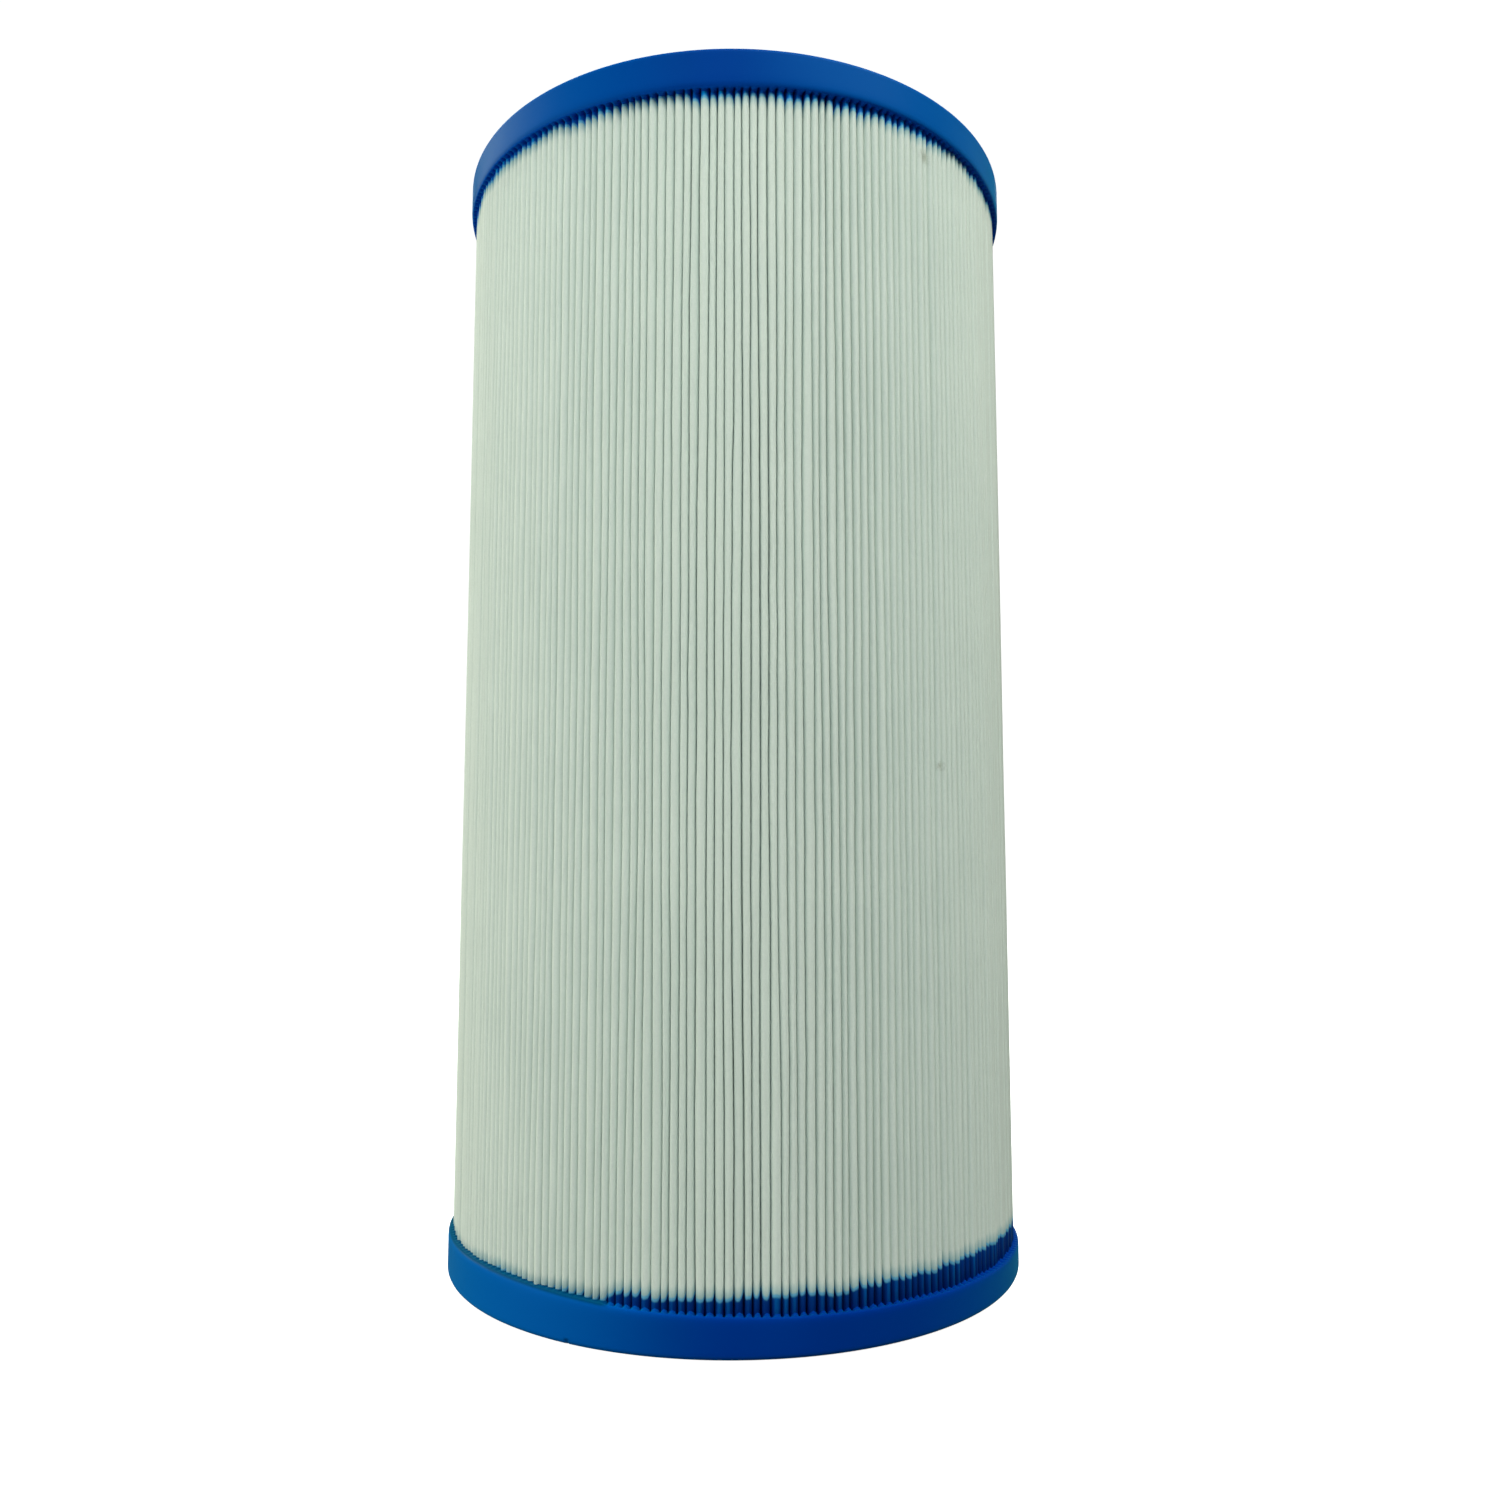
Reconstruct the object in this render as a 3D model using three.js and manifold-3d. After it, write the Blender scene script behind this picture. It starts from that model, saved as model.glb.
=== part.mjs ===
// Spa filter cartridge: one long sheet of spunbonded polyester, folded into deep pleats
// around a moulded lattice core, with both ends cast into soft polyurethane end caps.
//
// Units are millimetres and +Z is up, along the cartridge's axis. The origin is the centre
// of the face that the cartridge stands on. The pleated sheet's seam lies on the +Y side.
import * as THREE from "three";
import { mergeVertices } from "three/addons/utils/BufferGeometryUtils.js";
import Module from "manifold-3d";

const wasm = await Module();
wasm.setup();

// ---- Driving dimensions ----
const length = 242; // overall, from resting face to resting face
const capRadius = 62.5; // 125 mm across the end caps
const capHeight = 7; // the band that shows round each end
const capPlate = 3; // end plate under the pleats
const boreRadius = 27; // 54 mm hole through both caps, for a standpipe
const gap = 0.3; // kept between neighbouring pieces
const rimWall = 0.8; // thin skin of cap outside the pleats
const collarWall = 1.1; // lining of the bore inside the core
const edgeChamfer = 0.8;

const coreWall = 3;
const coreSections = 4; // moulded lengths, plugged into each other
const coreLap = 4; // how far a spigot enters its socket
const windowColumns = 8;
const windowRows = 4;
const windowWidth = 17;
const windowHeight = 10;
const windowBar = 3; // ring left between two rows of windows

const pleatCount = 230;
const seamSlots = 2; // the seam takes the room of this many pleats
const mediaArcs = 5; // the sheet's solids, of 46 pleats each
const sheet = 0.4; // thickness of the polyester
const foldHalf = 0.58; // half the width of a pleat at its outer fold
const valleyHalf = 0.25; // half the width of a pleat at its inner fold
const flapInset = 3.4; // the seam's flaps stop this far inside the outer folds
const seamWidth = 0.4;

// ---- Worked out from those ----
const packBottom = capPlate + gap; // where the pleats and the core stand in the cap
const packLength = length - 2 * packBottom;
const packOuter = capRadius - rimWall - gap;
const coreInner = boreRadius + collarWall + gap;
const coreOuter = coreInner + coreWall;
const packInner = coreOuter + gap;
const pitch = (2 * Math.PI) / (pleatCount + seamSlots);

const ringSteps = 64;
const coreSteps = 32;

// ---- Materials ----
const polyurethane = new THREE.MeshStandardMaterial({ color: 0x0a4f9e, roughness: 0.32, metalness: 0 });
const polyester = new THREE.MeshStandardMaterial({ color: 0xe2e9e2, roughness: 0.95, metalness: 0 });
const corePlastic = new THREE.MeshStandardMaterial({ color: 0xe9eaea, roughness: 0.5, metalness: 0 });
const adhesive = new THREE.MeshStandardMaterial({ color: 0xd8d2bf, roughness: 0.4, metalness: 0 });

// ---- Helpers ----

// A solid for cutting, made from a closed three.js geometry.
function toSolid(geometry) {
  const bare = geometry.clone();
  bare.deleteAttribute("normal");
  bare.deleteAttribute("uv");
  const merged = mergeVertices(bare, 1e-3);
  return new wasm.Manifold(
    new wasm.Mesh({
      numProp: 3,
      vertProperties: merged.attributes.position.array,
      triVerts: new Uint32Array(merged.index.array),
    }),
  );
}

function toGeometry(solid) {
  const mesh = solid.getMesh();
  const geometry = new THREE.BufferGeometry();
  geometry.setAttribute("position", new THREE.BufferAttribute(mesh.vertProperties, 3));
  geometry.setIndex(new THREE.BufferAttribute(mesh.triVerts, 1));
  geometry.computeVertexNormals();
  return geometry;
}

// A ring turned about Z from a closed list of [radius, height] points, walked anticlockwise.
function turned(profile, steps) {
  const points = [...profile, profile[0]].map(([radius, height]) => new THREE.Vector2(radius, height));
  return new THREE.LatheGeometry(points, steps).rotateX(Math.PI / 2);
}

// The plan position at a radius and angle, moved sideways round the ring by a straight distance.
function planPoint(radius, angle, sideways = 0) {
  return new THREE.Vector2(
    radius * Math.cos(angle) - sideways * Math.sin(angle),
    radius * Math.sin(angle) + sideways * Math.cos(angle),
  );
}

function named(name, geometry, material) {
  const mesh = new THREE.Mesh(geometry, material);
  mesh.name = name;
  return mesh;
}

// ---- End caps ----

// One cap with its resting face at z = 0 and its trough for the pleats and core opening upwards.
// The face has a sealing ring round the bore, a shallow recess, and a ring round the outside.
function capGeometry() {
  const recess = 0.8;
  const sealRing = 7; // width of the flat ring round the bore
  const outerRing = 6; // width of the flat ring round the outside
  const troughOuter = capRadius - rimWall;
  const troughInner = boreRadius + collarWall;
  return turned(
    [
      [boreRadius, edgeChamfer],
      [boreRadius + edgeChamfer, 0],
      [boreRadius + sealRing, 0],
      [boreRadius + sealRing + recess, recess],
      [capRadius - outerRing - recess, recess],
      [capRadius - outerRing, 0],
      [capRadius - edgeChamfer, 0],
      [capRadius, edgeChamfer],
      [capRadius, capHeight - rimWall / 2],
      [capRadius - rimWall / 2, capHeight],
      [troughOuter, capHeight],
      [troughOuter, capPlate],
      [troughInner, capPlate],
      [troughInner, capHeight],
      [boreRadius, capHeight],
    ],
    ringSteps,
  );
}

function endCaps() {
  const bottom = named("bottom_end_cap", capGeometry(), polyurethane);
  const top = named("top_end_cap", capGeometry(), polyurethane);
  top.rotation.x = Math.PI;
  top.position.z = length;
  return [bottom, top];
}

// ---- Core ----

// Wall of one core section in [radius, height], with a socket below and a spigot above
// wherever it meets another section.
function coreProfile(bottom, top, hasSocket, hasSpigot) {
  const lapMiddle = (coreInner + coreOuter) / 2;
  const socketRadius = lapMiddle + gap / 2;
  const spigotRadius = lapMiddle - gap / 2;
  const foot = hasSocket
    ? [
        [coreInner, bottom + coreLap],
        [socketRadius, bottom + coreLap],
        [socketRadius, bottom],
        [coreOuter, bottom],
      ]
    : [
        [coreInner, bottom],
        [coreOuter, bottom],
      ];
  const head = hasSpigot
    ? [
        [coreOuter, top],
        [spigotRadius, top],
        [spigotRadius, top + coreLap - gap],
        [coreInner, top + coreLap - gap],
      ]
    : [
        [coreOuter, top],
        [coreInner, top],
      ];
  return [...foot, ...head];
}

// Bars that each cut two opposite windows through the wall, one bar for each pair and row.
function windowBars(bottom, top) {
  const rowPitch = windowHeight + windowBar;
  const stack = windowRows * rowPitch - windowBar;
  const lowest = (bottom + coreLap + top - stack + windowHeight) / 2;
  const bars = [];
  for (let row = 0; row < windowRows; row++) {
    for (let pair = 0; pair < windowColumns / 2; pair++) {
      const bar = new THREE.BoxGeometry(2 * coreOuter + 2, windowWidth, windowHeight);
      bar.rotateZ((pair / windowColumns) * 2 * Math.PI + Math.PI / windowColumns);
      bar.translate(0, 0, lowest + row * rowPitch);
      bars.push(toSolid(bar));
    }
  }
  return bars;
}

function core() {
  const sectionLength = (packLength - (coreSections - 1) * gap) / coreSections;
  const sections = [];
  for (let i = 0; i < coreSections; i++) {
    const bottom = packBottom + i * (sectionLength + gap);
    const top = bottom + sectionLength;
    const wall = toSolid(turned(coreProfile(bottom, top, i > 0, i < coreSections - 1), coreSteps));
    const lattice = wall.subtract(wasm.Manifold.union(windowBars(bottom, top)));
    sections.push(named(`core_section_${i + 1}`, toGeometry(lattice), corePlastic));
  }
  return sections;
}

// ---- Pleated sheet and its seam ----

// Part of the folded sheet in plan, from one valley to another: out along its upstream side
// and back along its downstream side. The seam is centred on angle 0, where the sheet's first
// and last valleys each end in a flap. Any other end is a plain cut at the bottom of a valley.
function sheetOutline(firstValley, lastValley) {
  const flapRadius = packOuter - flapInset;
  const flapInside = seamWidth / 2 + gap;
  const upstream = [];
  const downstream = [];
  if (firstValley === 0) {
    upstream.push(planPoint(flapRadius, 0, flapInside + sheet));
    downstream.push(planPoint(flapRadius, 0, flapInside));
  }
  for (let k = firstValley; k <= lastValley; k++) {
    const valley = (k + seamSlots / 2) * pitch;
    const startsHere = k === firstValley && k > 0;
    const endsHere = k === lastValley && k < pleatCount;
    const cut = startsHere ? gap / 2 : -gap / 2;
    upstream.push(planPoint(packInner + sheet, valley, startsHere || endsHere ? cut : 0));
    downstream.push(planPoint(packInner, valley, startsHere ? cut : -valleyHalf));
    downstream.push(planPoint(packInner, valley, endsHere ? cut : valleyHalf));
    if (k < lastValley) {
      const fold = valley + pitch / 2;
      upstream.push(planPoint(packOuter, fold, -foldHalf), planPoint(packOuter, fold, foldHalf));
      downstream.push(planPoint(packOuter - sheet, fold));
    }
  }
  if (lastValley === pleatCount) {
    upstream.push(planPoint(flapRadius, 0, -flapInside - sheet));
    downstream.push(planPoint(flapRadius, 0, -flapInside));
  }
  return [...upstream, ...downstream.reverse()];
}

// The real sheet is one length. It is modelled as arcs of equal pleat count, so that each is
// a simple solid that bends only a little way round the bore.
function pleatedMedia() {
  const arcs = [];
  const arcPleats = pleatCount / mediaArcs;
  for (let i = 0; i < mediaArcs; i++) {
    const shape = new THREE.Shape(sheetOutline(i * arcPleats, (i + 1) * arcPleats));
    const geometry = new THREE.ExtrudeGeometry(shape, { depth: packLength, bevelEnabled: false });
    const arc = named(`pleated_media_${i + 1}`, geometry, polyester);
    arc.rotation.z = Math.PI / 2;
    arc.position.z = packBottom;
    arcs.push(arc);
  }
  return arcs;
}

// The strip of adhesive that bonds the sheet's two end flaps.
function seamStrip() {
  const inner = packInner + 2.5;
  const outer = packOuter - flapInset + 1;
  const strip = new THREE.BoxGeometry(seamWidth, outer - inner, packLength);
  strip.translate(0, (inner + outer) / 2, packBottom + packLength / 2);
  return named("seam_strip", strip, adhesive);
}

const cartridge = new THREE.Group();
cartridge.add(...endCaps(), ...core(), ...pleatedMedia(), seamStrip());

export default cartridge;
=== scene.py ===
"""Looks of a pleated spa filter cartridge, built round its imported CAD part. Metres, +Z up."""

import math

import bpy
import numpy as np
from mathutils import Matrix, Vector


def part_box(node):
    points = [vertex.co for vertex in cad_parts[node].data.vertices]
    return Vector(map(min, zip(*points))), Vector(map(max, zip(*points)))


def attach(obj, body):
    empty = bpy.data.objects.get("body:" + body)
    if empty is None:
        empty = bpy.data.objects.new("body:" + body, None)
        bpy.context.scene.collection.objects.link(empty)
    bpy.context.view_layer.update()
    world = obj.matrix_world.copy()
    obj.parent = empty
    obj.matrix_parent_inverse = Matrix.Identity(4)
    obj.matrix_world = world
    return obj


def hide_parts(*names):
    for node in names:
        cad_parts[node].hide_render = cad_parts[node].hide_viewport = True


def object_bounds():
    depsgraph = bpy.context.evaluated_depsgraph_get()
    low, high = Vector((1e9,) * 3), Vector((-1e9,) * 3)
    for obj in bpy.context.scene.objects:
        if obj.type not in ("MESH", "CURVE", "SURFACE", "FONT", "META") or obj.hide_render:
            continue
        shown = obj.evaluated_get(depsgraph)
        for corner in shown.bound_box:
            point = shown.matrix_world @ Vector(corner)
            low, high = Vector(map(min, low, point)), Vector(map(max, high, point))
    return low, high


MM = 0.001

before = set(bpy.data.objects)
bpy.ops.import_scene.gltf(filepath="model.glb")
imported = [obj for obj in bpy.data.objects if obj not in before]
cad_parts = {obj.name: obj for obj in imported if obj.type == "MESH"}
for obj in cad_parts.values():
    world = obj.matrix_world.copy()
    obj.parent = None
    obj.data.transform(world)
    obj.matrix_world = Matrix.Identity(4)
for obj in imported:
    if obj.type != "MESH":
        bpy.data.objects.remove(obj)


def plain(bounds):
    return [[float(value) for value in corner] for corner in bounds]


cad_bounds = plain(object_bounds())

# ---- Sizes, from the frame ----


def radius_of(node):
    low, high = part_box(node)
    return (high[0] - low[0]) / 2


ARCS = [name for name in sorted(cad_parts) if name.startswith("pleated_media")]
SECTIONS = [name for name in sorted(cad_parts) if name.startswith("core_section")]
LENGTH = cad_bounds[1][2]
CAP_RADIUS = radius_of("bottom_end_cap")
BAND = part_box("bottom_end_cap")[1][2]  # height of an end cap's side
CORE_OUTER = radius_of(SECTIONS[0])
PACK_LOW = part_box(ARCS[0])[0][2]
PACK_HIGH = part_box(ARCS[0])[1][2]
PACK_OUTER = max(abs(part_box(name)[0][1]) for name in ARCS)  # radius at the outer folds

# ---- Sizes that the CAD part was drawn with ----
BORE = 27 * MM
CORE_WALL = 3 * MM
CORE_INNER = CORE_OUTER - CORE_WALL
CORE_MIDDLE = (CORE_INNER + CORE_OUTER) / 2
PACK_INNER = CORE_OUTER + 0.3 * MM
PLEATS = 230
SEAM_SLOTS = 2  # the pleats' slots that the seam takes up
PITCH = 2 * math.pi / (PLEATS + SEAM_SLOTS)
SEAM_ANGLE = math.pi / 2
WINDOW_COLUMNS = 8
WINDOW_ROWS = 4
WINDOW_WIDTH = 17 * MM
WINDOW_HEIGHT = 10 * MM
WINDOW_BAR = 3 * MM
WINDOW_STEPS = 6  # faces across a window
CORE_LAP = 4 * MM  # how far each section plugs into the next
CORE_PLAY = 0.3 * MM

# ---- The cast ends ----
SOAK = 9.3 * MM  # how far from each end the blue reaches up the pleats
TILT = 1.5 * MM  # the bottom band is higher on one side by this
TILT_ANGLE = math.radians(110)  # where it is highest, from the seam
DRY_SIDE = (-0.83, -0.56, 0.0)  # the way faced by the stretch where no blue shows above the bottom band
DRY_EDGE = (0.815, 0.835)  # how nearly a pleat faces that way where the stretch starts and is complete
# The top band's painted highlights face these ways.
PAINTED_HIGHLIGHT_RIGHT = (0.76, -0.65, 0.0)  # the ways the top band's paler sides face
PAINTED_HIGHLIGHT_LEFT = (-0.8, -0.6, 0.0)
NICK_ANGLE = math.radians(151.3)  # of the nick in the bottom cap's edge, from the seam
NICK_DEPTH = 0.6 * MM

# ---- The folded sheet ----
SHEET = 0.36 * MM  # thickness of the polyester
LEVELS = 31  # rows of points up each pleat
TIP_STEPS = 6  # faces round each outer fold
FLAP_RADIUS = PACK_OUTER - 0.9 * MM  # where the two flaps that are glued at the seam end
FLAP_GAP = 0.5 * MM  # from the seam's middle to each flap
ROOT_DEPTH = 0.2 * MM  # how deep an inner fold's rounding is, and half its width
ROOT_HALF_WIDTH = 0.26 * MM
PLEAT_FILL = 0.96  # how much of its slot a pleat takes at the outside
WIDE_PLEATS = 9  # folded wider than the rest
NARROWEST = 0.6  # least width of a pleat and extra width of a wide one, in slots
EXTRA_WIDTH = 0.35
TIP_DEPTH = 1.35 * MM  # how deep the outer fold's rounding is
TIP_REACH = PACK_OUTER + 0.26 * MM  # how far out the outer folds come
LEAN = 0.45 * MM  # how much lower one side of an outer fold is than the other

random = np.random.default_rng(21)


# ---- Helpers: meshes ----


def placed(name, data):
    """A new object in the scene."""
    made = bpy.data.objects.new(name, data)
    bpy.context.scene.collection.objects.link(made)
    return made


def mesh_object(name, points, faces, material):
    mesh = bpy.data.meshes.new(name)
    mesh.from_pydata(np.asarray(points, float).tolist(), [], [list(face) for face in faces])
    mesh.polygons.foreach_set("use_smooth", [True] * len(mesh.polygons))
    mesh.validate()
    mesh.update()
    mesh.materials.append(material)
    return placed(name, mesh)


def mesh_piece(name, points, faces, material):
    """A new piece that rides on the cartridge's one body."""
    piece = mesh_object(name, points, faces, material)
    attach(piece, "root")
    return piece


def tube_faces(rings, around):
    """Quads between rings of points, each ring closed on itself."""
    here = np.arange(around)
    after = (here + 1) % around
    rows = []
    for ring in range(rings - 1):
        low, high = ring * around, (ring + 1) * around
        rows.append(np.stack([low + here, low + after, high + after, high + here], axis=1))
    return np.concatenate(rows)


def smooth_noise(shape, reach):
    """Seeded noise with a spread of 1, smoothed along each axis by a reach in steps."""
    field = random.standard_normal(shape)
    for axis, width in enumerate(reach):
        if width:
            offsets = np.arange(-3 * width, 3 * width + 1)
            weights = np.exp(-0.5 * (offsets / width) ** 2)
            spread = [(0, 0)] * field.ndim
            spread[axis] = (3 * width, 3 * width)
            padded = np.pad(field, spread, mode="reflect" if field.shape[axis] > 3 * width else "wrap")
            field = np.apply_along_axis(lambda row: np.convolve(row, weights, "valid"), axis, padded)
    return field / field.std()


def around_axis(radius, angle, height):
    """Points from polar places, with angle 0 at the seam."""
    radius, angle, height = np.broadcast_arrays(radius, angle, height)
    turned = angle + SEAM_ANGLE
    return np.stack([radius * np.cos(turned), radius * np.sin(turned), height], axis=-1)


# ---- Helpers: materials ----


def new_material(name):
    material = bpy.data.materials.new(name)
    material.use_nodes = True
    tree = material.node_tree
    tree.nodes.clear()
    output = tree.nodes.new("ShaderNodeOutputMaterial")
    shader = tree.nodes.new("ShaderNodeBsdfPrincipled")
    tree.links.new(shader.outputs["BSDF"], output.inputs["Surface"])
    return material, tree, shader


def add(tree, kind, inputs=None, **settings):
    """Adds a node. An input given as a socket is linked, and any other is set."""
    made = tree.nodes.new(kind)
    for key, value in settings.items():
        setattr(made, key, value)
    for key, value in (inputs or {}).items():
        if isinstance(value, bpy.types.NodeSocket):
            tree.links.new(value, made.inputs[key])
        else:
            made.inputs[key].default_value = value
    return made


def calc(tree, operation, *values):
    return add(tree, "ShaderNodeMath", dict(enumerate(values)), operation=operation).outputs[0]


def facing(tree, direction, way):
    """How nearly a direction is one way: 1 along it, 0 across it."""
    dot = add(tree, "ShaderNodeVectorMath", {0: direction, 1: way}, operation="DOT_PRODUCT")
    return dot.outputs["Value"]


def noise(tree, vector, scale, detail=2.0, roughness=0.5, distortion=0.0):
    made = add(
        tree,
        "ShaderNodeTexNoise",
        {"Vector": vector, "Scale": scale, "Detail": detail, "Roughness": roughness,
         "Distortion": distortion},
    )
    return made.outputs["Fac"]


def step(tree, value, start, end, low=0.0, high=1.0):
    """A smooth step of value from low at start to high at end."""
    made = add(
        tree,
        "ShaderNodeMapRange",
        {"Value": value, "From Min": start, "From Max": end, "To Min": low, "To Max": high},
        interpolation_type="SMOOTHSTEP",
    )
    return made.outputs["Result"]


def blend_colour(tree, factor, a, b, mode="MIX"):
    """Mixes colours, which a mix node takes at its inputs 6 and 7 and gives at its output 2."""
    a, b = (value if isinstance(value, bpy.types.NodeSocket) else (*value, 1) for value in (a, b))
    return add(tree, "ShaderNodeMix", {0: factor, 6: a, 7: b}, data_type="RGBA", blend_type=mode).outputs[2]


def point(tree):
    return add(tree, "ShaderNodeTexCoord").outputs["Object"]


def polar(tree, place):
    """A place's direction from the axis, its radius and its height."""
    apart = add(tree, "ShaderNodeSeparateXYZ", {0: place})
    flat = add(tree, "ShaderNodeCombineXYZ", {0: apart.outputs[0], 1: apart.outputs[1], 2: 0.0})
    radius = add(tree, "ShaderNodeVectorMath", {0: flat.outputs[0]}, operation="LENGTH").outputs["Value"]
    direction = add(tree, "ShaderNodeVectorMath", {0: flat.outputs[0]}, operation="NORMALIZE").outputs[0]
    return direction, radius, apart.outputs[2]


def bumped(tree, shader, layers):
    """Stacks bumps onto a shader. Each layer is (height socket, distance in metres, strength)."""
    normal = None
    for height, distance, strength in layers:
        inputs = {"Height": height, "Distance": distance, "Strength": strength}
        if normal is not None:
            inputs["Normal"] = normal
        normal = add(tree, "ShaderNodeBump", inputs).outputs["Normal"]
    tree.links.new(normal, shader.inputs["Normal"])


# ---- Materials ----

# Fabric soaked with the casting, on the folds and in the gaps, at the bottom and at the top. The gaps are
# darker with painted shade. The top's colours are lifted with painted light, because it came out too dark
# under the band.
SOAKED = (0.0, 0.11, 0.43)
SOAKED_GAP_SHADE = (0.0, 0.042, 0.27)
SOAKED_TOP_PAINTED_LIGHT = (0.0, 0.30, 0.80)
SOAKED_TOP_GAP_LIGHT_AND_SHADE = (0.0, 0.13, 0.64)
WICKED = (0.13, 0.47, 0.72)  # the thin blue at the soaked zone's edge
DAMP = (0.55, 0.72, 0.78)  # the tint of the fabric just past it
FABRIC_LIGHT = (0.82, 0.88, 0.83)
FABRIC_DARK = (0.75, 0.82, 0.77)
STAIN = (0.27, 0.29, 0.20)
CAST_DARK = (0.0, 0.027, 0.29)
CAST_LIGHT = (0.0, 0.034, 0.32)
# Painted highlights on the bands' paler sides.
CAST_PAINTED_HIGHLIGHT = (0.0, 0.10, 0.46)  # the bands' paler sides
# Painted light: the top cap's lip colour is lifted.
CAST_LIP_PAINTED_LIGHT = (0.0, 0.09, 0.62)  # the top cap's lip
# Painted shade: the dark line on the bottom cap's lip.
CAST_SHADE_LINE = (0.0, 0.05, 0.16)  # the bottom cap's lip along the dry stretch
CORE_DARK = (0.70, 0.72, 0.71)
CORE_LIGHT = (0.80, 0.81, 0.80)
GLUE_DARK = (0.60, 0.55, 0.40)
GLUE_LIGHT = (0.72, 0.68, 0.54)

# Small stains: degrees from the front, height and size in millimetres.
STAINS = ((39, 229.2, 2.1), (41, 104.7, 1.4))

# How far each scale of unevenness moves the soaked zone's edge: its noise scale, detail and reach.
WANDERS = ((3.6, 2.0, 3.0 * MM), (13.0, 2.0, 2.2 * MM), (40.0, 1.0, 0.8 * MM))


def past_soak(tree, direction, depth, from_end, base, offset):
    """How far past the soaked zone's edge a point is. The edge wanders, and climbs in the gaps."""
    moved = add(tree, "ShaderNodeVectorMath", {0: direction, 1: (0, 0, offset)}, operation="ADD").outputs[0]
    edge = base - WANDERS[0][2]
    for scale, detail, reach in WANDERS:
        edge = calc(tree, "MULTIPLY_ADD", noise(tree, moved, scale, detail), reach, edge)
    edge = calc(tree, "ADD", edge, step(tree, depth, 0.25 * MM, 1.3 * MM, 0.0, 0.9 * MM))
    return calc(tree, "SUBTRACT", from_end, edge)


def polyester():
    material, tree, shader = new_material("spunbonded_polyester")
    place = point(tree)
    direction, radius, height = polar(tree, place)
    depth = calc(tree, "SUBTRACT", PACK_OUTER, radius)
    towards_x = add(tree, "ShaderNodeSeparateXYZ", {0: direction}).outputs[0]

    # The soaked zone at the bottom climbs a little towards one side, and is missing along one stretch.
    climbs = step(tree, towards_x, -0.5, 0.6, -0.1 * MM, 1.3 * MM)
    dry = step(tree, facing(tree, direction, DRY_SIDE), *DRY_EDGE, 0.0, -0.9 * MM)
    bottom = past_soak(tree, direction, depth, height, SOAK, 0.0)
    bottom = calc(tree, "SUBTRACT", bottom, calc(tree, "ADD", climbs, dry))
    from_top = calc(tree, "SUBTRACT", LENGTH, height)
    top = past_soak(tree, direction, depth, from_top, SOAK - 0.6 * MM, 5.0)
    past = calc(tree, "MINIMUM", bottom, top)

    fibre_a = noise(tree, place, 1900.0, 3.0, 0.6, 1.2)
    fibre_b = noise(tree, place, 5200.0, 2.0, 0.6, 0.6)
    cloud = noise(tree, place, 46.0, 3.0)
    fibres = calc(tree, "MULTIPLY_ADD", fibre_b, 0.45, calc(tree, "MULTIPLY", fibre_a, 0.55))
    tone = calc(tree, "MULTIPLY_ADD", cloud, 0.3, calc(tree, "MULTIPLY", fibres, 0.7))
    cloth = blend_colour(tree, step(tree, tone, 0.32, 0.68), FABRIC_DARK, FABRIC_LIGHT)

    for angle, stain_height, size in STAINS:
        turn = math.radians(angle)
        at = (PACK_OUTER * math.sin(turn), -PACK_OUTER * math.cos(turn), stain_height * MM)
        away = add(tree, "ShaderNodeVectorMath", {0: place, 1: at}, operation="DISTANCE").outputs["Value"]
        ragged = calc(tree, "MULTIPLY_ADD", fibre_a, 1.6 * MM, away)
        mark = step(tree, ragged, 0.7 * MM, (0.9 + size) * MM, 0.58, 0.0)
        cloth = blend_colour(tree, mark, cloth, STAIN)

    # The soaked fabric, with a pale rim where the blue has wicked up, fades into damp and then dry cloth.
    # The gaps are darker with painted shade, and the top's colours are lifted with painted light.
    gap_shade = step(tree, depth, -0.08 * MM, 0.2 * MM)
    at_top = calc(tree, "GREATER_THAN", height, LENGTH / 2)
    wet = blend_colour(
        tree,
        at_top,
        blend_colour(tree, gap_shade, SOAKED, SOAKED_GAP_SHADE),
        blend_colour(tree, gap_shade, SOAKED_TOP_PAINTED_LIGHT, SOAKED_TOP_GAP_LIGHT_AND_SHADE),
    )
    fringe = blend_colour(tree, step(tree, past, -0.45 * MM, 0.1 * MM), wet, WICKED)
    damp = blend_colour(tree, step(tree, past, 0.3 * MM, 2.6 * MM), DAMP, (1, 1, 1))
    cloth = blend_colour(tree, 1.0, cloth, damp, "MULTIPLY")
    colour = blend_colour(tree, step(tree, past, 0.1 * MM, 0.65 * MM), fringe, cloth)
    tree.links.new(colour, shader.inputs["Base Color"])
    tree.links.new(step(tree, past, -0.2 * MM, 0.4 * MM, 0.36, 0.92), shader.inputs["Roughness"])
    tree.links.new(step(tree, past, 0.1 * MM, 1.0 * MM, 0.0, 0.1), shader.inputs["Sheen Weight"])
    shader.inputs["Specular IOR Level"].default_value = 0.12
    shader.inputs["Sheen Roughness"].default_value = 0.6
    bumped(tree, shader, [(cloud, 0.25 * MM, 0.35), (fibre_a, 0.07 * MM, 0.55), (fibre_b, 0.03 * MM, 0.5)])
    return material


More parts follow.
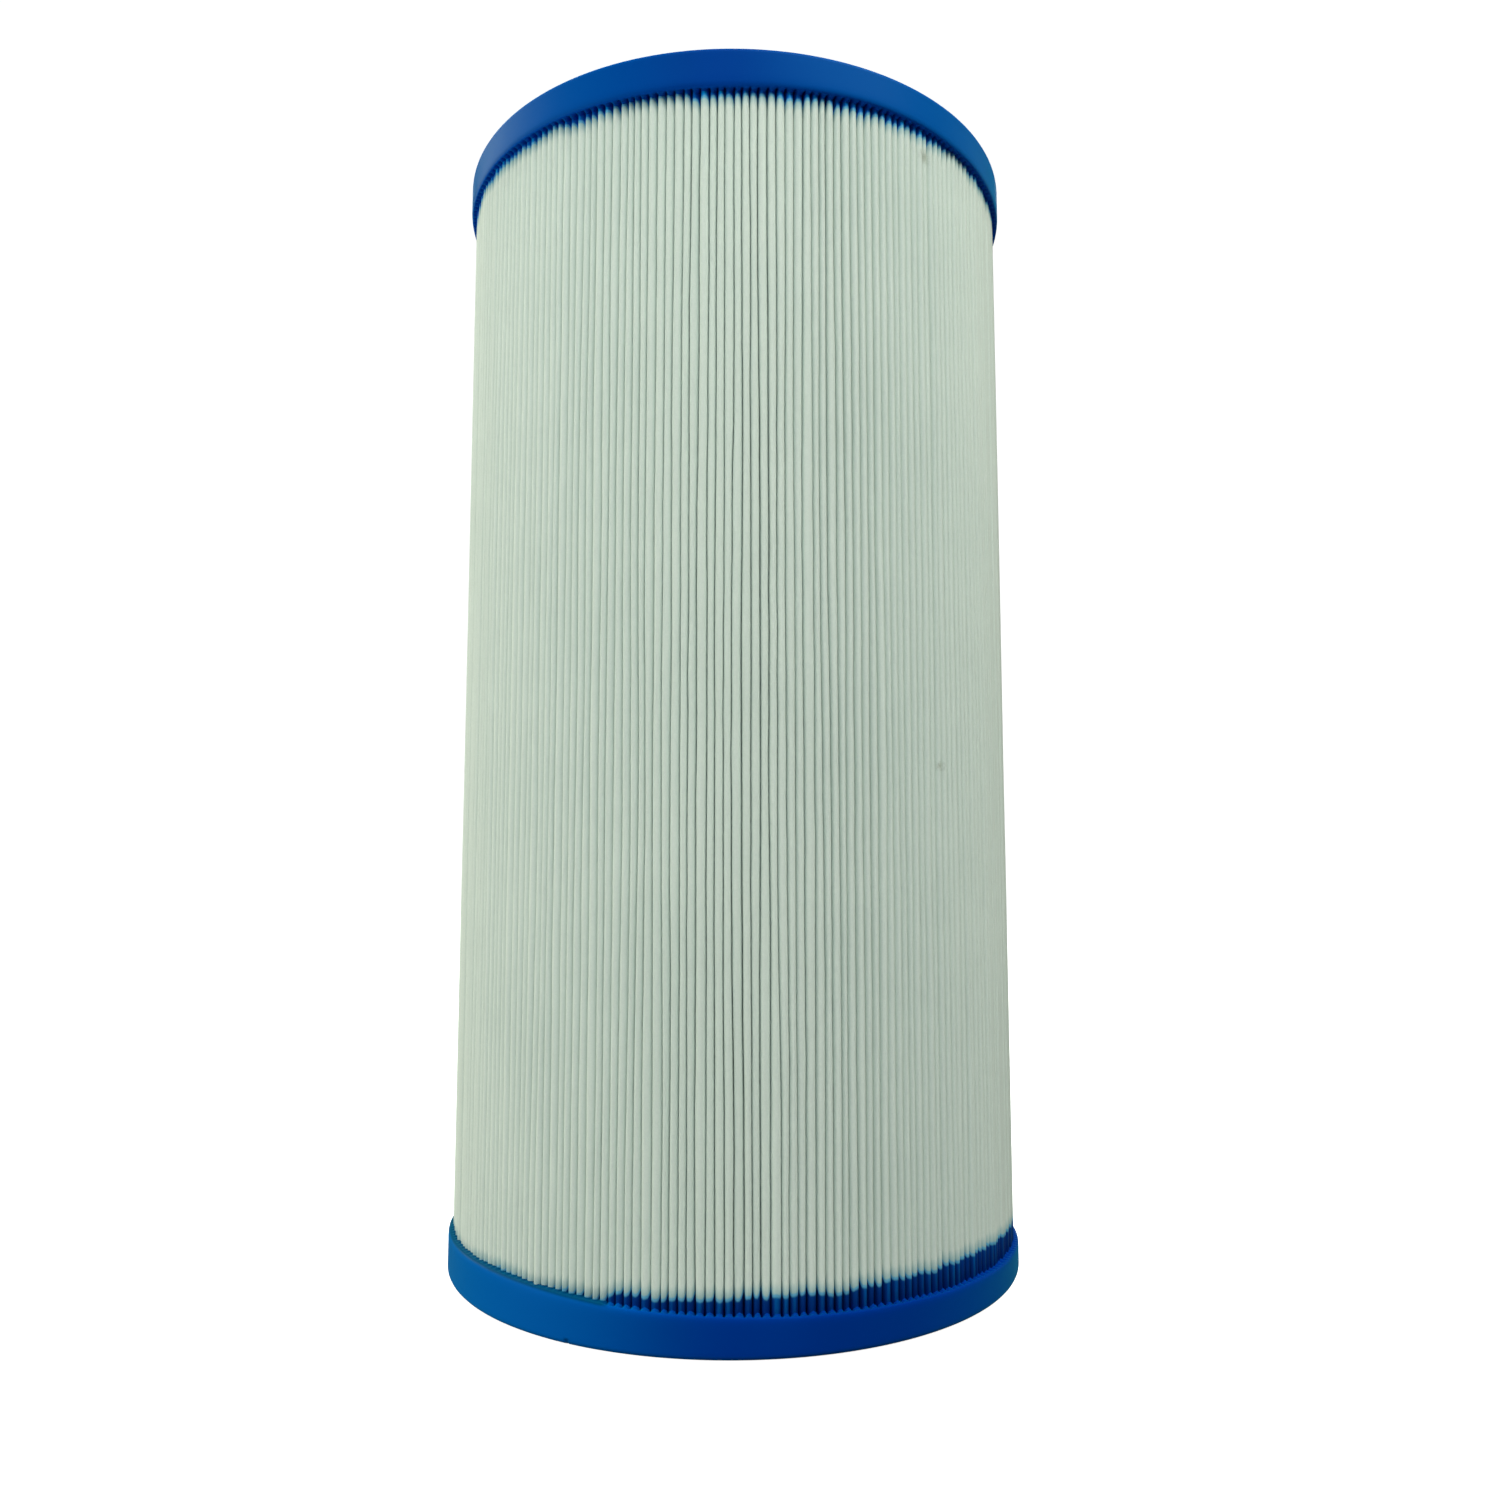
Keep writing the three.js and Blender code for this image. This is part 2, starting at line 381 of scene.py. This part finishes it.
def polyurethane():
    material, tree, shader = new_material("cast_blue_polyurethane")
    place = point(tree)
    direction, radius, height = polar(tree, place)
    cloud = noise(tree, place, 28.0, 2.0)
    colour = blend_colour(tree, step(tree, cloud, 0.3, 0.7), CAST_DARK, CAST_LIGHT)
    # Each end is paler towards its sides: a painted highlight. This is matched, as the lights alone don't
    # give it.
    low = calc(tree, "LESS_THAN", height, LENGTH / 2)
    high = calc(tree, "SUBTRACT", 1.0, low)
    from_face = calc(tree, "MINIMUM", height, calc(tree, "SUBTRACT", LENGTH, height))
    at_side = step(tree, radius, CAP_RADIUS - 5 * MM, CAP_RADIUS - 0.5 * MM)
    for side, end, share in ((DRY_SIDE, low, 1.0), (PAINTED_HIGHLIGHT_RIGHT, high, 0.8), (PAINTED_HIGHLIGHT_LEFT, high, 0.55)):
        painted_highlight = calc(tree, "MULTIPLY", step(tree, facing(tree, direction, side), 0.55, 0.97, 0.0, share), end)
        painted_highlight = calc(tree, "MULTIPLY", painted_highlight, at_side)
        colour = blend_colour(tree, painted_highlight, colour, CAST_PAINTED_HIGHLIGHT)
    # Along the dry stretch the lip is a dark line between the band and the fabric: painted shade, which also
    # darkens the rim's highlight there.
    dry = step(tree, facing(tree, direction, DRY_SIDE), *DRY_EDGE)
    lip = calc(
        tree,
        "MULTIPLY",
        step(tree, radius, CAP_RADIUS - 0.06 * MM, CAP_RADIUS - 0.3 * MM),
        step(tree, from_face, 2 * MM, 3 * MM),
    )
    line = calc(tree, "MULTIPLY", calc(tree, "MULTIPLY", dry, lip), low)
    colour = blend_colour(tree, line, colour, CAST_SHADE_LINE)
    # The top lip came out too dark under the band, so its colour is lifted with painted light.
    colour = blend_colour(tree, calc(tree, "MULTIPLY", lip, high), colour, CAST_LIP_PAINTED_LIGHT)
    tree.links.new(colour, shader.inputs["Base Color"])
    # Fine turned lines, such as a turned mould leaves, and a slow swell. Both are guesses.
    lines_at = add(tree, "ShaderNodeCombineXYZ", {0: radius, 1: height, 2: 0.0}).outputs[0]
    around = add(tree, "ShaderNodeVectorMath", {0: direction, 1: (0.03, 0.03, 0.03)}, operation="MULTIPLY")
    drifting = add(tree, "ShaderNodeVectorMath", {0: lines_at, 1: around.outputs[0]}, operation="ADD")
    lines = noise(tree, drifting.outputs[0], 1500.0, 1.0)
    swell = noise(tree, place, 70.0, 1.0)
    tree.links.new(calc(tree, "MULTIPLY_ADD", cloud, 0.16, 0.28), shader.inputs["Roughness"])
    shader.inputs["Specular IOR Level"].default_value = 0.03
    shader.inputs["Specular Tint"].default_value = (0.0, 0.9, 1.0, 1)
    shader.inputs["Sheen Weight"].default_value = 0.24
    shader.inputs["Sheen Roughness"].default_value = 0.5
    shader.inputs["Sheen Tint"].default_value = (0.0, 0.75, 0.95, 1)
    bumped(tree, shader, [(swell, 0.5 * MM, 0.25), (lines, 0.012 * MM, 0.3)])
    return material


def core_plastic():
    material, tree, shader = new_material("moulded_core_plastic")
    place = point(tree)
    cloud = noise(tree, place, 60.0, 3.0)
    flow = noise(tree, place, 420.0, 2.0, 0.5, 1.0)
    colour = blend_colour(tree, step(tree, cloud, 0.3, 0.7), CORE_DARK, CORE_LIGHT)
    tree.links.new(colour, shader.inputs["Base Color"])
    tree.links.new(calc(tree, "MULTIPLY_ADD", flow, 0.2, 0.34), shader.inputs["Roughness"])
    bumped(tree, shader, [(cloud, 0.1 * MM, 0.3), (flow, 0.02 * MM, 0.4)])
    return material


def adhesive():
    material, tree, shader = new_material("set_adhesive")
    place = point(tree)
    cloud = noise(tree, place, 160.0, 3.0)
    grain = noise(tree, place, 1200.0, 2.0)
    colour = blend_colour(tree, step(tree, cloud, 0.3, 0.7), GLUE_DARK, GLUE_LIGHT)
    tree.links.new(colour, shader.inputs["Base Color"])
    tree.links.new(calc(tree, "MULTIPLY_ADD", grain, 0.2, 0.25), shader.inputs["Roughness"])
    bumped(tree, shader, [(cloud, 0.15 * MM, 0.4), (grain, 0.03 * MM, 0.3)])
    return material


# ---- The folded sheet ----


# The folding's unevenness: its share of a slot, levels drawn, and reach in pleats and in levels.
UNEVEN = (
    (0.05, 1, (0, 0)),
    (0.28, LEVELS, (7, 14)),
    (0.1, LEVELS, (1, 4)),
    (0.06, LEVELS, (0, 2)),
    (0.022, LEVELS, (0, 0)),
)


def pleat_layout():
    """Each pleat's sides, middle, half width, tip and lean at each level, uneven as real folding is."""
    levels = np.arange(LEVELS)
    # The caps hold the pleats' ends, so they wander most at mid height.
    loose = 0.5 + 0.5 * np.sin(math.pi * levels / (LEVELS - 1)) ** 0.7
    uneven = sum(share * smooth_noise((PLEATS + 1, drawn), reach) for share, drawn, reach in UNEVEN)
    edges = np.arange(PLEATS + 1)[:, None] + loose * uneven
    widths = np.maximum(np.diff(edges, axis=0), NARROWEST)
    # A few are folded wider along part of their length.
    for _ in range(WIDE_PLEATS):
        wide = random.integers(4, PLEATS - 4)
        centre = random.uniform(0, LEVELS)
        reach = random.uniform(6, 20)
        widths[wide] += EXTRA_WIDTH * loose * np.exp(-0.5 * ((levels - centre) / reach) ** 2)
    widths *= (2 * math.pi - SEAM_SLOTS * PITCH) / widths.sum(axis=0)
    start = np.zeros((1, LEVELS))
    sides = SEAM_SLOTS / 2 * PITCH + np.concatenate([start, np.cumsum(widths, axis=0)])
    # Most of the slow drift is taken out again, so each pleat keeps near its inner fold.
    sides -= 0.8 * drift(sides)
    widths = np.diff(sides, axis=0)
    fill = PLEAT_FILL + 0.02 * smooth_noise((PLEATS, LEVELS), (0, 3))
    half = np.minimum(fill, 0.985) * widths / 2
    middle = (sides[:-1] + sides[1:]) / 2
    drop = 0.06 * MM * np.abs(smooth_noise((PLEATS, LEVELS), (0, 4)))
    drop = drop + 0.06 * MM * np.abs(smooth_noise((PLEATS, 1), (0, 0)))
    tip = TIP_REACH - drop
    lean = 1 + 0.35 * smooth_noise((PLEATS, 1), (0, 0)) + 0.2 * smooth_noise((PLEATS, LEVELS), (0, 5))
    return sides, middle, half, tip, LEAN * lean


def drift(sides):
    """The slow part of how far each side has wandered from its place in an even ring."""
    even = SEAM_SLOTS / 2 * PITCH + PITCH * np.arange(PLEATS + 1)[:, None]
    reach = 9  # pleats
    weights = np.exp(-0.5 * (np.arange(-3 * reach, 3 * reach + 1) / reach) ** 2)
    weights /= weights.sum()
    padded = np.pad(sides - even, ((3 * reach, 3 * reach), (0, 0)), mode="edge")
    return np.apply_along_axis(lambda row: np.convolve(row, weights, "valid"), 0, padded)


def folded_media(material, layout):
    """One closed sheet: out along its outer face through every pleat, and back along its inner face.

    Returns the piece, and the outer face's folded line at mid height.
    """
    _, middle, half, tip, lean = layout
    levels = np.linspace(PACK_LOW, PACK_HIGH, LEVELS)
    upstream, downstream = [], []
    # Each point's place along its line, by which the two lines are joined at the sheet's ends.
    along = {id(upstream): [], id(downstream): []}

    def put(line, at, radius, angle):
        """Adds a point to one of the sheet's two lines. Its place at counts in pleats."""
        line.append(around_axis(radius, angle, levels))
        along[id(line)].append(at)

    put(upstream, -1, FLAP_RADIUS, (FLAP_GAP + SHEET) / FLAP_RADIUS)
    put(downstream, -1, FLAP_RADIUS, FLAP_GAP / FLAP_RADIUS)
    turns = np.linspace(-math.pi / 2, math.pi / 2, TIP_STEPS + 1)
    root_half = ROOT_HALF_WIDTH / PACK_INNER
    for k in range(PLEATS + 1):
        valley = (k + SEAM_SLOTS / 2) * PITCH
        if 0 < k < PLEATS:
            put(downstream, k - 0.1, PACK_INNER + ROOT_DEPTH, valley - root_half)
        put(upstream, k, PACK_INNER + SHEET, valley)
        put(downstream, k, PACK_INNER, valley)
        if k == PLEATS:
            break
        put(downstream, k + 0.1, PACK_INNER + ROOT_DEPTH, valley + root_half)
        inner_half = half[k] - SHEET / PACK_OUTER
        rounds = [(upstream, turn, 0, TIP_DEPTH, half[k]) for turn in turns]
        rounds += [(downstream, turn, SHEET, TIP_DEPTH - 0.25 * MM, inner_half) for turn in turns[::3]]
        for line, turn, inset, fall, half_width in rounds:
            depth = inset + fall * (1 - math.cos(turn)) + lean[k] * (1 + math.sin(turn)) / 2
            put(line, k + 0.5 + 0.2 * turn, tip[k] - depth, middle[k] + half_width * math.sin(turn))
    put(upstream, PLEATS + 1, FLAP_RADIUS, -(FLAP_GAP + SHEET) / FLAP_RADIUS)
    put(downstream, PLEATS + 1, FLAP_RADIUS, -FLAP_GAP / FLAP_RADIUS)

    outline = np.stack(upstream + downstream[::-1], axis=1)
    around = outline.shape[1]
    faces = tube_faces(LEVELS, around)
    ends = end_faces(along[id(upstream)], along[id(downstream)])
    top = ends + (LEVELS - 1) * around
    everything = [*faces.tolist(), *ends[:, ::-1].tolist(), *top.tolist()]
    mesh = mesh_piece("folded_media", outline.reshape(-1, 3), everything, material)
    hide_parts(*ARCS)
    return mesh, outline[LEVELS // 2, : len(upstream)]


def end_faces(out_at, back_at):
    """Triangles that close the sheet's end, zipped between its two lines by their places."""
    last = len(out_at) + len(back_at) - 1
    i = j = 0
    faces = []
    while i < len(out_at) - 1 or j < len(back_at) - 1:
        if j == len(back_at) - 1 or (i < len(out_at) - 1 and out_at[i + 1] <= back_at[j + 1]):
            faces.append([i, i + 1, last - j])
            i += 1
        else:
            faces.append([i, last - j - 1, last - j])
            j += 1
    return np.array(faces)


layout = pleat_layout()
media, folded_line = folded_media(polyester(), layout)


# ---- End caps ----


def cap_samples(layout, level):
    """Angles round the cap, four to a pleat, each with how far into a gap between pleats it is."""
    sides, middle, half = (part[:, level] for part in layout[:3])
    angles, gaps = [], []
    for k in range(PLEATS):
        angles += [sides[k], middle[k] - 0.6 * half[k], middle[k], middle[k] + 0.6 * half[k]]
        gaps += [1.0, 0.28, 0.0, 0.28]
    seam_start = sides[PLEATS]
    seam_turn = 2 * math.pi + sides[0] - seam_start
    for share in (0.0, 0.25, 0.5, 0.75):
        angles.append(seam_start + share * seam_turn)
        gaps.append(1.0 if share == 0 else 0.6)
    return np.array(angles), np.array(gaps)


def arc(centre, radius, start, end, steps):
    """Points on a quarter round in the plane of radius and height. Angles in degrees."""
    turns = np.radians(np.linspace(start, end, steps + 1))
    return [(centre[0] + radius * math.cos(turn), centre[1] + radius * math.sin(turn)) for turn in turns]


# The lip's inset from the cap's side, its height on a tip, and its depth in a gap, in millimetres.
LIP_STEPS = (
    (0.4, 0.02, 0.1),
    (0.62, 0.06, 0.32),
    (0.82, 0.12, 0.55),
    (1.0, 0.24, 0.72),
    (1.2, 0.4, 0.85),
    (1.7, 0.4, 0.95),
    (2.4, 0.4, 0.95),
    (3.4, 0.4, 0.8),
    (6.0, 0.3, 0.4),
    (14.0, 0.2, 0.0),
)


def cap_profile():
    """The cap's section from its bore round by the resting face to the lip under the pleats."""
    small, large, recess = 0.6 * MM, 0.9 * MM, 0.8 * MM
    seal_end, ring_start = BORE + 7 * MM, CAP_RADIUS - 6 * MM
    section = arc((BORE + large, large), large, 180, 270, 4)
    section += [(BORE + 2.4 * MM, 0), (seal_end - 1.2 * MM, 0)]
    section += arc((seal_end - small, small), small, 270, 325, 3)
    section += [(seal_end + 0.5 * MM, recess), (seal_end + 1.6 * MM, recess)]
    middle = (seal_end + ring_start) / 2
    section += [(middle - 5 * MM, recess), (middle, recess + 0.05 * MM), (middle + 5 * MM, recess)]
    section += [(ring_start - 1.6 * MM, recess), (ring_start - 0.5 * MM, recess)]
    section += arc((ring_start + small, small), small, 215, 270, 3)
    section += [(ring_start + 1.6 * MM, 0), (CAP_RADIUS - 1.8 * MM, 0)]
    section += arc((CAP_RADIUS - large, large), large, 270, 360, 5)
    section += [(CAP_RADIUS, 1.1 * MM), (CAP_RADIUS, 1.4 * MM)]
    section += [(CAP_RADIUS, BAND - 2 * MM), (CAP_RADIUS, BAND - 1.1 * MM)]
    section += [(CAP_RADIUS - 0.04 * MM, BAND - 0.65 * MM), (CAP_RADIUS - 0.12 * MM, BAND - 0.32 * MM)]
    section += [(CAP_RADIUS - 0.26 * MM, BAND - 0.08 * MM)]
    return section


def end_cap(name, node, material, layout, at_top):
    """One cast cap, drawn as the bottom one, and turned over if it is at the top."""
    level = LEVELS - 2 if at_top else 1
    angles, gaps = cap_samples(layout, level)
    around = len(angles)
    uneven = (0.24 * smooth_noise((around,), (40,)) + 0.05 * smooth_noise((around,), (9,))) * MM
    uneven = uneven - np.linspace(0, 1, around) * (uneven[-1] - uneven[0])
    dry = 0 * angles
    if not at_top:
        uneven = uneven + TILT * np.cos(angles - TILT_ANGLE)
        towards = around_axis(1.0, angles, 0.0) @ np.array(DRY_SIDE)
        dry = np.clip((towards - DRY_EDGE[0]) / (DRY_EDGE[1] - DRY_EDGE[0]), 0, 1)
    rings = []
    for radius, height in cap_profile():
        # The resting face is flat, and the unevenness grows from there up to the lip.
        loose = min(max((height - 0.3 * BAND) / (0.7 * BAND), 0), 1)
        rings.append([radius + 0 * angles, height + loose * uneven])
    if not at_top:
        nick = np.argmin(np.abs(angles - NICK_ANGLE))
        for ring in rings:
            if ring[0][nick] > CAP_RADIUS - 0.9 * MM and ring[1][nick] < 0.95 * MM:
                ring[0][nick] -= NICK_DEPTH
    lip = BAND + uneven
    # The cast surface curves up each pleat's tip, and leaves a pit in each gap.
    on_tip = (1 - gaps) * (1 - 0.3 * dry)
    in_gap = gaps * (1 - dry)
    for inset, rise, pit in LIP_STEPS:
        rings.append([CAP_RADIUS - inset * MM + 0 * angles, lip + (on_tip * rise - in_gap * pit) * MM])
    flat = BAND + 0 * angles
    for radius in (CORE_OUTER + 0.6 * MM, CORE_INNER - 0.1 * MM, BORE + 0.7 * MM):
        rings.append((radius + 0 * angles, flat))
    for radius, height in arc((BORE + 0.5 * MM, BAND - 0.5 * MM), 0.5 * MM, 110, 180, 3):
        rings.append((radius + 0 * angles, height + 0 * angles))
    rings.append((BORE + 0 * angles, 0.5 * BAND + 0 * angles))
    points = np.concatenate([around_axis(radius, angles, height) for radius, height in rings])
    count = len(rings)
    faces = tube_faces(count, around)
    here = np.arange(around)
    after = (here + 1) % around
    last = (count - 1) * around
    closing = np.stack([last + here, last + after, after, here], axis=1)
    faces = np.concatenate([faces, closing])
    if at_top:
        points[:, 2] = LENGTH - points[:, 2]
        faces = faces[:, ::-1]
    cap = mesh_piece(name, points, faces, material)
    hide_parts(node)


blue = polyurethane()
end_cap("cast_cap_bottom", "bottom_end_cap", blue, layout, at_top=False)
end_cap("cast_cap_top", "top_end_cap", blue, layout, at_top=True)


# ---- Core ----


def core_section(node, material):
    """One moulded length: a wall on a grid of angle and height, with its windows left out."""
    low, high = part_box(node)[0][2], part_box(node)[1][2]
    first, last = node == SECTIONS[0], node == SECTIONS[-1]
    body_top = high if last else high - CORE_LAP + CORE_PLAY
    row_pitch = WINDOW_HEIGHT + WINDOW_BAR
    stack = WINDOW_ROWS * row_pitch - WINDOW_BAR
    lowest = (low + CORE_LAP + body_top - stack) / 2
    heights = [low] if first else [low, low + CORE_LAP]
    for row in range(WINDOW_ROWS):
        heights += [lowest + row * row_pitch, lowest + row * row_pitch + WINDOW_HEIGHT]
    heights += [body_top] if last else [body_top, high]
    window_turn = WINDOW_WIDTH / CORE_MIDDLE
    column_turn = 2 * math.pi / WINDOW_COLUMNS
    angles = []
    for column in range(WINDOW_COLUMNS):
        start = (column + 0.5) * column_turn - window_turn / 2
        angles += list(start + window_turn * np.linspace(0, 1, WINDOW_STEPS + 1)[:-1])
        angles += list(start + window_turn + (column_turn - window_turn) * np.linspace(0, 1, 4)[:-1])
    angles = np.array(angles)
    per_column = len(angles) // WINDOW_COLUMNS
    around, rows = len(angles), len(heights)
    inner = np.array([around_axis(CORE_INNER, angles, height) for height in heights])
    outer = np.array([around_axis(CORE_OUTER, angles, height) for height in heights])
    if not first:  # a socket at the bottom
        for row in (0, 1):
            inner[row] = around_axis(CORE_MIDDLE + CORE_PLAY / 2, angles, heights[row])
    if not last:  # a spigot at the top
        outer[-1] = around_axis(CORE_MIDDLE - CORE_PLAY / 2, angles, heights[-1])
    points = np.concatenate([outer.reshape(-1, 3), inner.reshape(-1, 3)])
    offset = around * rows

    def solid(column, row):
        from_lowest = row - (1 if first else 2)
        beside_window = 0 <= from_lowest < 2 * WINDOW_ROWS and from_lowest % 2 == 0
        return not (beside_window and column % per_column < WINDOW_STEPS)

    faces = []
    for row in range(rows - 1):
        for column in range(around):
            after = (column + 1) % around
            a, b = row * around + column, row * around + after
            c, d = b + around, a + around
            if not solid(column, row):
                continue
            faces.append([a, b, c, d])
            faces.append([d + offset, c + offset, b + offset, a + offset])
            if not solid(after, row):
                faces.append([b, b + offset, c + offset, c])
            if not solid((column - 1) % around, row):
                faces.append([a + offset, a, d, d + offset])
            if row == 0 or not solid(column, row - 1):
                faces.append([b, a, a + offset, b + offset])
            if row == rows - 2 or not solid(column, row + 1):
                faces.append([d, c, c + offset, d + offset])
    piece = mesh_piece(node.replace("core_section", "core_lattice"), points, faces, material)
    bevel = piece.modifiers.new("rounded_edges", "BEVEL")
    bevel.width = 0.45 * MM
    bevel.segments = 2
    bevel.limit_method = "ANGLE"
    bevel.angle_limit = math.radians(40)
    bevel.harden_normals = True
    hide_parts(node)


white_plastic = core_plastic()
for section in SECTIONS:
    core_section(section, white_plastic)


# ---- Seam ----


def seam_bead(material):
    """The line of adhesive between the sheet's two flaps, squeezed out a little along its edge."""
    rows, around = 120, 10
    low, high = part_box("seam_strip")[0][2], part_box("seam_strip")[1][2]
    heights = np.linspace(low, high, rows)
    inner = PACK_INNER + 2.5 * MM
    outer = FLAP_RADIUS + 0.4 * MM
    swell = smooth_noise((rows,), (3,))
    rings = []
    for row, height in enumerate(heights):
        reach = outer - 0.25 * MM + 0.12 * MM * swell[row]
        half_width = (0.45 + 0.08 * swell[row]) * MM
        # A thin wall between the flaps, with a round bead where it comes out of them.
        wall = [(inner, -0.2 * MM), (reach - 1.2 * MM, -0.2 * MM)]
        bead = [
            (reach - 0.6 * MM + 0.6 * MM * math.cos(turn), half_width * math.sin(turn))
            for turn in np.linspace(-2.2, 2.2, around)
        ]
        wall_back = [(reach - 1.2 * MM, 0.2 * MM), (inner, 0.2 * MM)]
        rings.append([(-across, radius, height) for radius, across in wall + bead + wall_back])
    points = np.array(rings)
    count = points.shape[1]
    faces = tube_faces(rows, count).tolist()
    bottom = list(range(count))[::-1]
    top = [(rows - 1) * count + i for i in range(count)]
    piece = mesh_piece("adhesive_bead", points.reshape(-1, 3), faces + [bottom, top], material)
    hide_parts("seam_strip")


seam_bead(adhesive())


# ---- Stage, lights and camera ----


def plain_floor():
    """A pale floor that curves up behind the cartridge, just under its resting face."""
    half, depth, rise, bend = 6.0, 3.0, 4.0, 1.2
    path = [(-depth, 0.0)] + [
        (depth - bend + bend * math.sin(turn), bend - bend * math.cos(turn))
        for turn in np.linspace(0, math.pi / 2, 12)
    ] + [(depth, rise)]
    points = [(side, along, up - 0.2 * MM) for along, up in path for side in (-half, half)]
    faces = [[2 * i, 2 * i + 1, 2 * i + 3, 2 * i + 2] for i in range(len(path) - 1)]
    material, tree, shader = new_material("pale_floor")
    grain = noise(tree, point(tree), 3.0)
    colour = blend_colour(tree, grain, (0.93, 0.93, 0.93), (0.96, 0.96, 0.96))
    tree.links.new(colour, shader.inputs["Base Color"])
    shader.inputs["Roughness"].default_value = 0.95
    shader.inputs["Specular IOR Level"].default_value = 0.06
    shader.inputs["Emission Color"].default_value = (1, 1, 1, 1)
    shader.inputs["Emission Strength"].default_value = 0.95
    floor = mesh_object("studio_floor", points, faces, material)
    # It is bright enough to wash the cartridge out.
    floor.visible_diffuse = False
    floor.visible_glossy = False


# Softboxes that face the cartridge's middle: where, size in metres, watts and colour.
WARM = (0.985, 1.0, 0.825)
COOL = (0.885, 1.0, 0.99)
SOFTBOXES = (
    ("left", (-1.1, -0.5, 0.05), (0.9, 0.8), 9.2, WARM),
    ("left_back", (-1.1, 0.4, 0.6), (0.9, 1.2), 8.0, WARM),
    ("front", (-0.2, -1.5, 0.4), (1.2, 0.9), 0.8, COOL),
    ("front_high", (0.0, -0.7, 1.0), (0.9, 0.7), 6.4, COOL),
    ("right_high", (0.5, -0.45, 1.0), (0.7, 0.7), 7.6, WARM),
    ("right_back", (1.1, 0.4, 0.6), (0.9, 1.2), 0.8, WARM),
    ("back", (0.0, 1.0, 1.3), (1.2, 0.9), 12.0, COOL),
)
ROOM_LIGHT = 0.08


def softbox(name, at, size, watts, colour):
    light = bpy.data.lights.new("softbox_" + name, "AREA")
    light.shape = "RECTANGLE"
    light.size, light.size_y = size
    light.energy = watts
    light.color = colour
    lamp = placed("softbox_" + name, light)
    away = np.array(at) - np.array((0, 0, LENGTH / 2))
    lamp.location = at
    lamp.rotation_euler = Matrix(basis(away)).to_euler()


def basis(away):
    """Axes whose Z points along away, so that a lamp or camera there looks back."""
    z = np.array(away, float) / np.linalg.norm(away)
    side = np.cross((0, 1, 0) if abs(z[2]) > 0.95 else (0, 0, 1), z)
    x = side / np.linalg.norm(side)
    return np.stack([x, np.cross(z, x), z], axis=1).tolist()


def lights():
    """A dim room that looks white where nothing stands in it, and the softboxes."""
    world = bpy.data.worlds.new("studio")
    world.use_nodes = True
    tree = world.node_tree
    tree.nodes.clear()
    room = add(tree, "ShaderNodeBackground", {"Color": (0.85, 1.0, 1.08, 1), "Strength": ROOM_LIGHT})
    backdrop = add(tree, "ShaderNodeBackground", {"Color": (1, 1, 1, 1), "Strength": 1.0})
    seen = add(tree, "ShaderNodeLightPath").outputs["Is Camera Ray"]
    mixed = add(tree, "ShaderNodeMixShader", {0: seen, 1: room.outputs[0], 2: backdrop.outputs[0]})
    add(tree, "ShaderNodeOutputWorld", {"Surface": mixed.outputs[0]})
    bpy.context.scene.world = world
    for box in SOFTBOXES:
        softbox(*box)


# The camera stands close by and below mid height, and is tilted up and turned a little.
EYE_DISTANCE = 4.4396 * CAP_RADIUS
EYE_HEIGHT = LENGTH / 2 - 0.5656 * CAP_RADIUS
EYE_TILT = math.radians(5.47)
EYE_TURN = math.radians(-0.735)


def camera():
    data = bpy.data.cameras.new("camera")
    data.sensor_width = 36
    data.lens = 28.6
    data.clip_start = 0.01
    eye = placed("camera", data)
    eye.matrix_world = (
        Matrix.Translation((0, -EYE_DISTANCE, EYE_HEIGHT))
        @ Matrix.Rotation(EYE_TURN, 4, "Z")
        @ Matrix.Rotation(EYE_TILT + math.pi / 2, 4, "X")
    )
    bpy.context.scene.camera = eye


plain_floor()
lights()
camera()
bpy.context.scene.view_settings.view_transform = "Standard"
